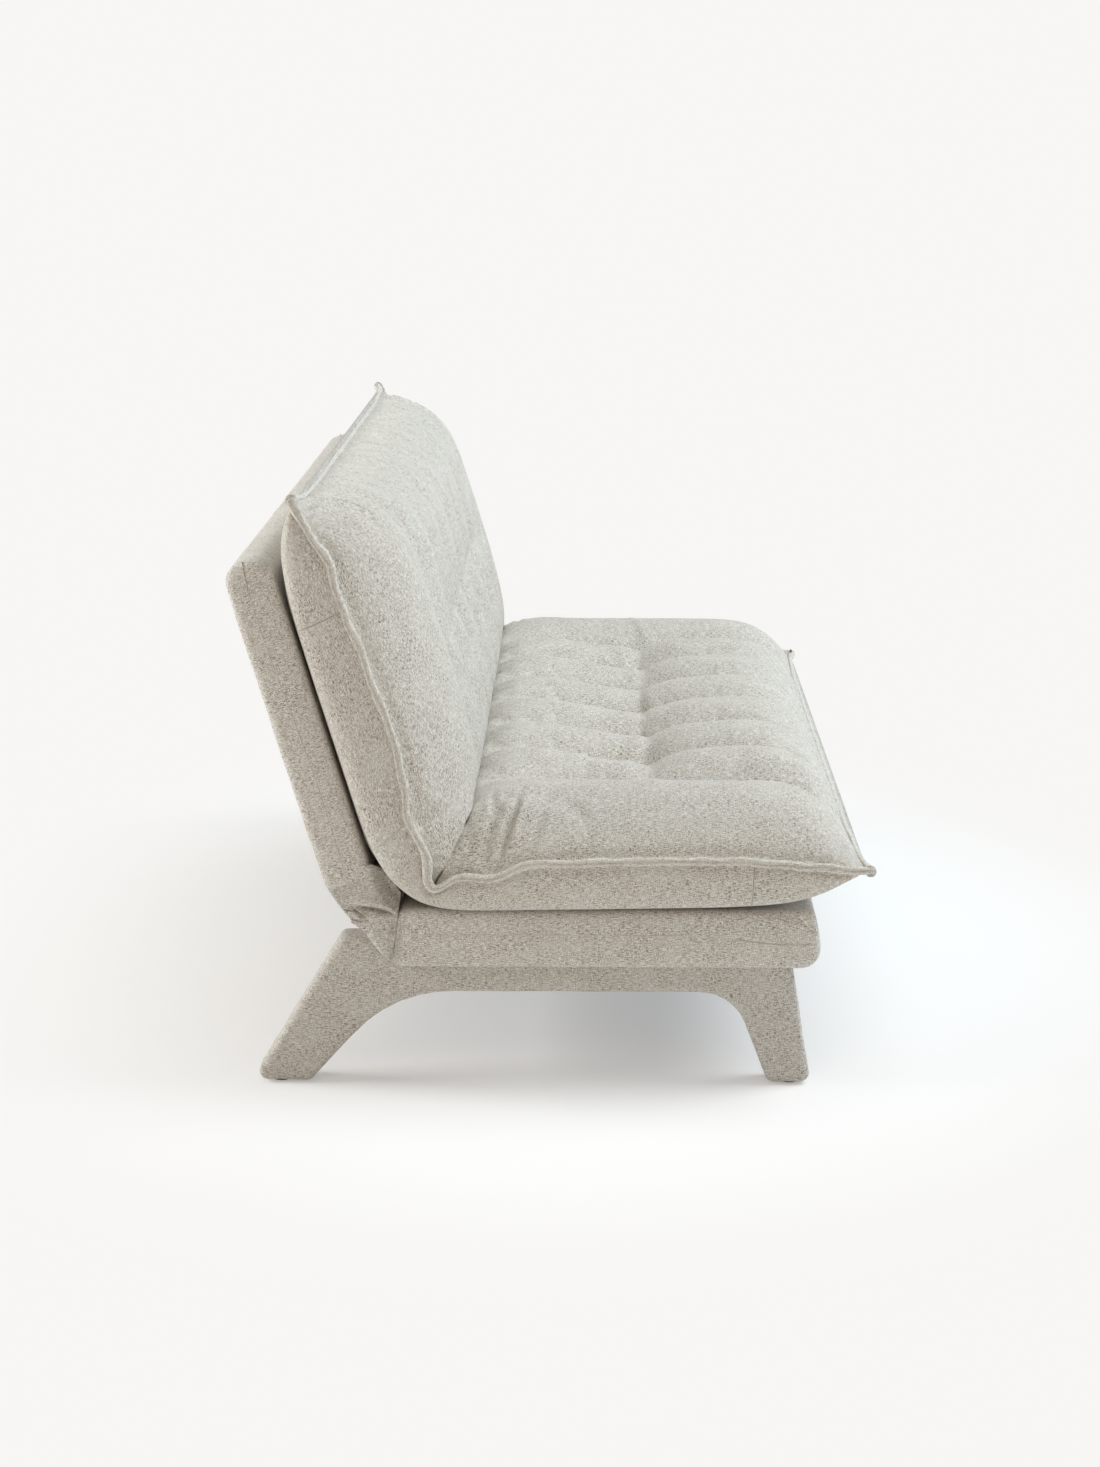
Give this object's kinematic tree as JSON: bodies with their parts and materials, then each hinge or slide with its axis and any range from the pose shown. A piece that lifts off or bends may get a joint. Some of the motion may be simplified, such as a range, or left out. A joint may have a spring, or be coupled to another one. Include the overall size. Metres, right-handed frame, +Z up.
{
  "type": "click clack sofa bed",
  "caption": "Armless click clack sofa bed: tufted pillow-top topper folded over an upholstered deck and a reclining back panel with ratchet hinges, on arched leg panels.",
  "frame": {"origin": "on the floor under the middle of the sofa's footprint", "axes": "+X along the width to the right as seen from the front, +Y to the back, +Z up"},
  "size_m": [1.9, 1.004, 0.9457],
  "materials": {
    "linen": "matte",
    "plywood": "satin",
    "pine": "matte",
    "foam": "matte",
    "webbing": "matte",
    "dust_cloth": "matte",
    "hinge_steel": "satin",
    "zinc_steel": "satin",
    "glide_plastic": "matte"
  },
  "bodies": {
    "base": {"seat_cushion": "linen", "deck_cover": "linen", "leg_cover_left": "linen", "leg_cover_right": "linen", "leg_panel_left": "plywood", "leg_panel_right": "plywood", "side_apron_left": "plywood", "side_apron_right": "plywood", "front_rail": "pine", "rear_rail": "pine", "centre_bearer": "pine", "side_bearer_left": "pine", "side_bearer_right": "pine", "deck_foam": "foam", "seat_strap_1": "webbing", "seat_strap_2": "webbing", "seat_strap_3": "webbing", "seat_strap_4": "webbing", "seat_strap_5": "webbing", "seat_strap_6": "webbing", "dust_sheet": "dust_cloth", "hinge_seat_plate_left": "hinge_steel", "hinge_cheek_left": "hinge_steel", "hinge_seat_plate_right": "hinge_steel", "hinge_cheek_right": "hinge_steel", "hinge_pivot_left": "zinc_steel", "hinge_pivot_right": "zinc_steel", "pawl_spring_left": "zinc_steel", "pawl_spring_right": "zinc_steel", "leg_bolt_front_left": "zinc_steel", "leg_bolt_rear_left": "zinc_steel", "leg_bolt_front_right": "zinc_steel", "leg_bolt_rear_right": "zinc_steel", "glide_rear_left": "glide_plastic", "glide_front_left": "glide_plastic", "glide_rear_right": "glide_plastic", "glide_front_right": "glide_plastic"},
    "backrest": {"back_cushion": "linen", "back_cover": "linen", "back_foam": "foam", "back_top_rail": "pine", "back_bottom_rail": "pine", "back_upright": "pine", "back_stile_left": "pine", "back_stile_right": "pine", "back_web_1": "webbing", "back_web_2": "webbing", "back_web_3": "webbing", "back_web_4": "webbing", "hinge_arm_left": "hinge_steel", "hinge_arm_right": "hinge_steel", "corner_flap_left": "linen", "corner_flap_right": "linen", "arm_bolt_lower_left": "zinc_steel", "arm_bolt_upper_left": "zinc_steel", "arm_bolt_lower_right": "zinc_steel", "arm_bolt_upper_right": "zinc_steel"},
    "pawl_left": {"hinge_pawl_left": "zinc_steel"},
    "pawl_right": {"hinge_pawl_right": "zinc_steel"}
  },
  "joints": [
    {"name": "backrest_recline", "type": "hinge", "parent": "base", "child": "backrest", "pos_m": [0, 0.28324, 0.264], "axis": [-1, 0, 0], "range_deg": [0, 73], "deforming": ["corner_flap_left", "corner_flap_right"]},
    {"name": "pawl_left_swing", "type": "hinge", "parent": "base", "child": "pawl_left", "pos_m": [-0.8141, 0.28104, 0.219], "axis": [1, 0, 0], "range_deg": [-11, 0], "stiffness_Nm_per_rad": 0.05, "springref_deg": -20.05, "deforming": ["pawl_spring_left"]},
    {"name": "pawl_right_swing", "type": "hinge", "parent": "base", "child": "pawl_right", "pos_m": [0.8141, 0.28104, 0.219], "axis": [1, 0, 0], "range_deg": [-11, 0], "stiffness_Nm_per_rad": 0.05, "springref_deg": -20.05, "deforming": ["pawl_spring_right"]}
  ],
  "couplings": [
    {"joint": "pawl_right_swing", "follows": "pawl_left_swing", "ratio": 1}
  ]
}
